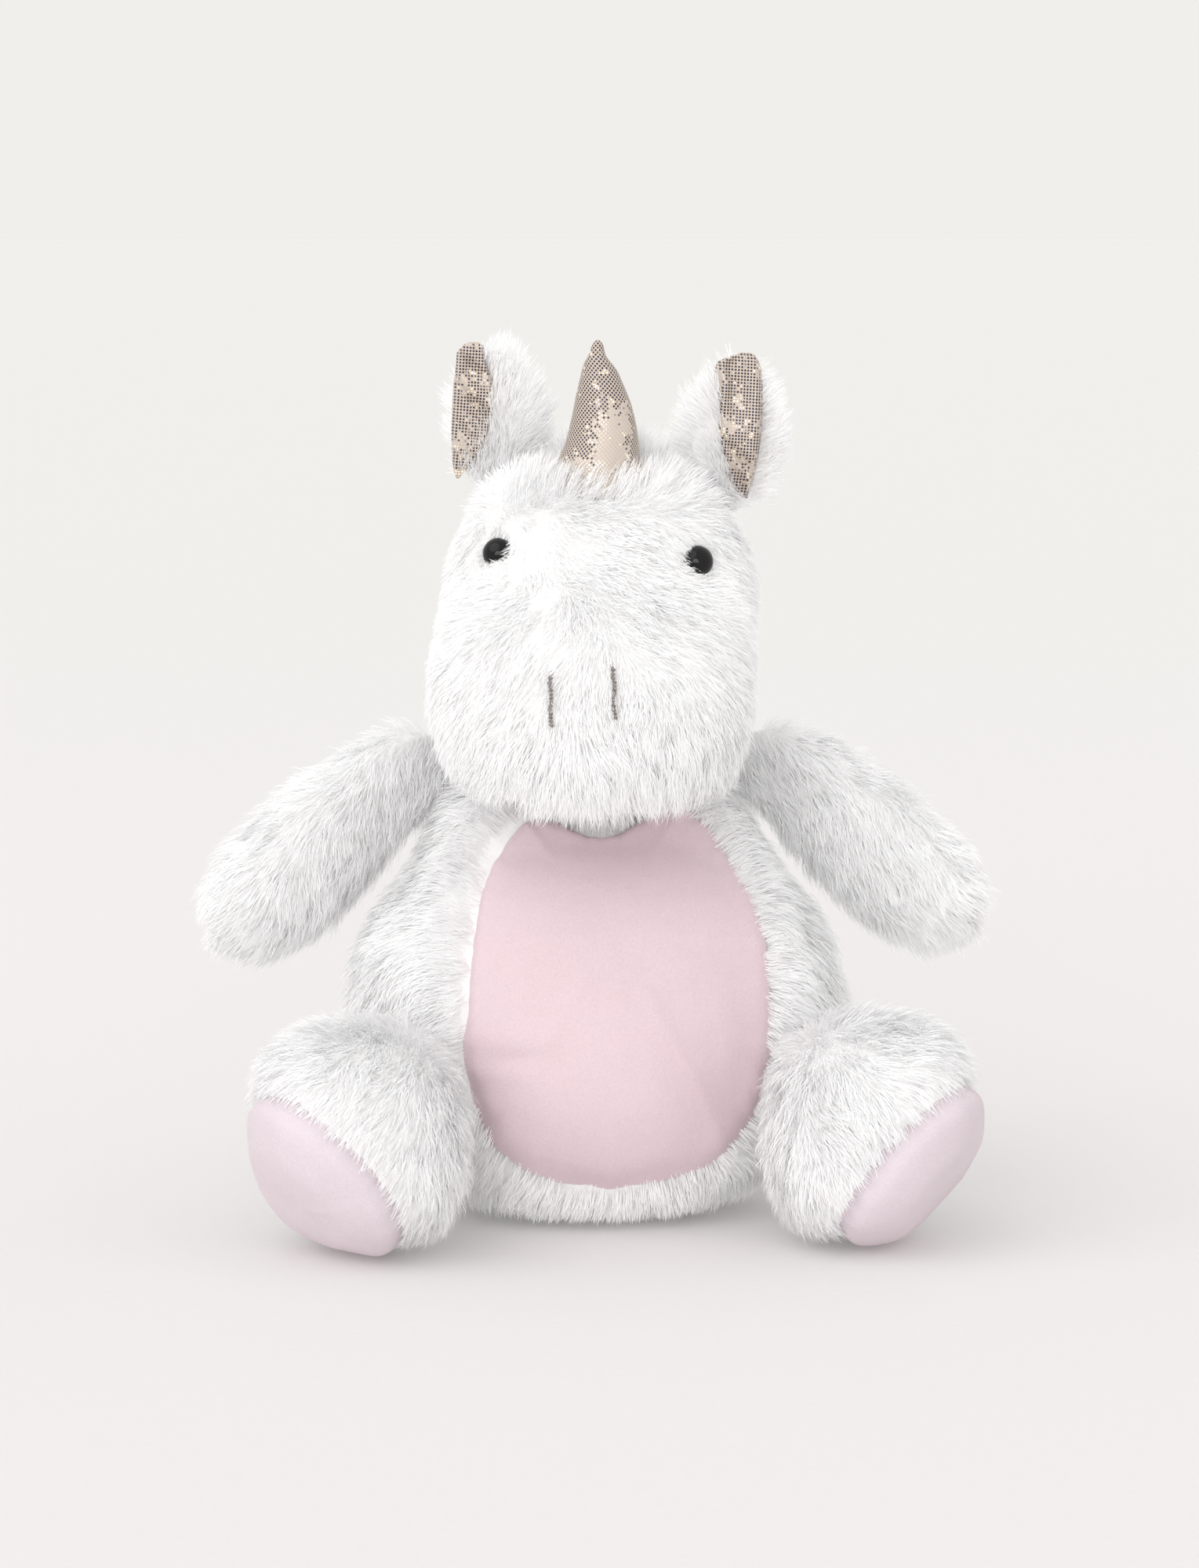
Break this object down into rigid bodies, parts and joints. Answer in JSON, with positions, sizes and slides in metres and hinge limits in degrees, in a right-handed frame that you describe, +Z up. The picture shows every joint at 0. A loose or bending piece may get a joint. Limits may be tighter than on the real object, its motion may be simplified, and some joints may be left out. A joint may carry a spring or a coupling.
{
  "type": "plush unicorn",
  "caption": "Seated soft-toy unicorn with a stuffed body, velour belly and soles, foil-dotted horn and ear linings, and sewn limbs that bend at their seams.",
  "frame": {"origin": "middle of the toy's box, on the plane that its seat and feet rest on", "axes": "+Z up, -Y the way the toy faces, +X towards its own left hand, which is the viewer's right"},
  "size_m": [0.2584, 0.193, 0.2846],
  "materials": {
    "white_plush": "long brushed pile, about 10 mm",
    "pink_velour": "short velour pile with a soft sheen",
    "foil_fabric": "satin cloth printed with small round foil dots, creased",
    "eye_gloss": "polished black dome",
    "nylon_washer": "moulded locking washer",
    "grey_thread": "stranded embroidery thread with a faint sparkle",
    "white_thread": "plain sewing thread",
    "fibre_fill": "loose polyester fibre",
    "pouch_cotton": "plain woven cotton",
    "pellets": "small rounded plastic pellets",
    "label_ribbon": "woven satin ribbon, blank"
  },
  "bodies": {
    "torso": {"torso_side_panel_left": "white_plush", "torso_side_panel_right": "white_plush", "torso_back_panel_left": "white_plush", "torso_back_panel_right": "white_plush", "belly_panel": "pink_velour", "seat_panel": "white_plush", "torso_stuffing": "fibre_fill", "pellet_pouch": "pouch_cotton", "pellet_fill": "pellets", "back_closing_stitches": "white_thread", "sewn_in_label": "label_ribbon"},
    "neck": {"neck_stuffing": "fibre_fill", "neck_seam_thread": "white_thread"},
    "head": {"head_side_panel_left": "white_plush", "head_side_panel_right": "white_plush", "head_centre_gusset": "white_plush", "chin_gusset": "white_plush", "head_stuffing": "fibre_fill", "eye_left": "eye_gloss", "eye_right": "eye_gloss", "eye_washer_left": "nylon_washer", "eye_washer_right": "nylon_washer", "nostril_stitch_left": "grey_thread", "nostril_stitch_right": "grey_thread", "mane_strip": "white_plush"},
    "horn": {"horn_cover": "foil_fabric", "horn_stuffing": "fibre_fill"},
    "tail": {"tail_tuft": "white_plush"},
    "ear_left": {"ear_back_left": "white_plush", "ear_lining_left": "foil_fabric"},
    "arm_left": {"arm_back_panel_left": "white_plush", "arm_front_panel_left": "white_plush", "arm_stuffing_left": "fibre_fill"},
    "leg_left": {"leg_top_panel_left": "white_plush", "leg_under_panel_left": "white_plush", "sole_pad_left": "pink_velour", "leg_stuffing_left": "fibre_fill"},
    "ear_right": {"ear_back_right": "white_plush", "ear_lining_right": "foil_fabric"},
    "arm_right": {"arm_back_panel_right": "white_plush", "arm_front_panel_right": "white_plush", "arm_stuffing_right": "fibre_fill"},
    "leg_right": {"leg_top_panel_right": "white_plush", "leg_under_panel_right": "white_plush", "sole_pad_right": "pink_velour", "leg_stuffing_right": "fibre_fill"}
  },
  "joints": [
    {"name": "head_turn", "type": "hinge", "parent": "torso", "child": "neck", "pos_m": [0, 0.0185, 0.152], "axis": [0, -0.3903, 0.9207], "range_deg": [-20, 20], "stiffness_Nm_per_rad": 0.6},
    {"name": "head_nod", "type": "hinge", "parent": "neck", "child": "head", "pos_m": [0, 0.0185, 0.152], "axis": [0.9877, -0.144, -0.0611], "range_deg": [-15, 10], "stiffness_Nm_per_rad": 0.8},
    {"name": "horn_wobble", "type": "hinge", "parent": "head", "child": "horn", "pos_m": [0.00051, -0.00136, 0.24806], "axis": [0.9877, -0.144, -0.0611], "range_deg": [-12, 12], "stiffness_Nm_per_rad": 0.02},
    {"name": "ear_left_flop", "type": "hinge", "parent": "head", "child": "ear_left", "pos_m": [-0.03309, 0.02169, 0.2397], "axis": [0.9877, -0.144, -0.0611], "range_deg": [-30, 22], "stiffness_Nm_per_rad": 0.03},
    {"name": "ear_right_flop", "type": "hinge", "parent": "head", "child": "ear_right", "pos_m": [0.04296, 0.0106, 0.235], "axis": [0.9877, -0.144, -0.0611], "range_deg": [-30, 22], "stiffness_Nm_per_rad": 0.03},
    {"name": "arm_left_swing", "type": "hinge", "parent": "torso", "child": "arm_left", "pos_m": [-0.0485, 0.0295, 0.154], "axis": [0.3011, 0, 0.9536], "range_deg": [-25, 16], "stiffness_Nm_per_rad": 0.12},
    {"name": "arm_right_swing", "type": "hinge", "parent": "torso", "child": "arm_right", "pos_m": [0.0485, 0.0295, 0.154], "axis": [0.3011, 0, -0.9536], "range_deg": [-25, 16], "stiffness_Nm_per_rad": 0.12},
    {"name": "leg_left_lift", "type": "hinge", "parent": "torso", "child": "leg_left", "pos_m": [-0.0535, -0.0345, 0.056], "axis": [-0.6591, 0.7521, 0], "range_deg": [-10, 25], "stiffness_Nm_per_rad": 0.3},
    {"name": "leg_right_lift", "type": "hinge", "parent": "torso", "child": "leg_right", "pos_m": [0.0535, -0.0345, 0.056], "axis": [-0.6591, -0.7521, 0], "range_deg": [-10, 25], "stiffness_Nm_per_rad": 0.3},
    {"name": "tail_lift", "type": "hinge", "parent": "torso", "child": "tail", "pos_m": [0, 0.07, 0.05], "axis": [1, 0, 0], "range_deg": [-10, 30], "stiffness_Nm_per_rad": 0.03}
  ]
}
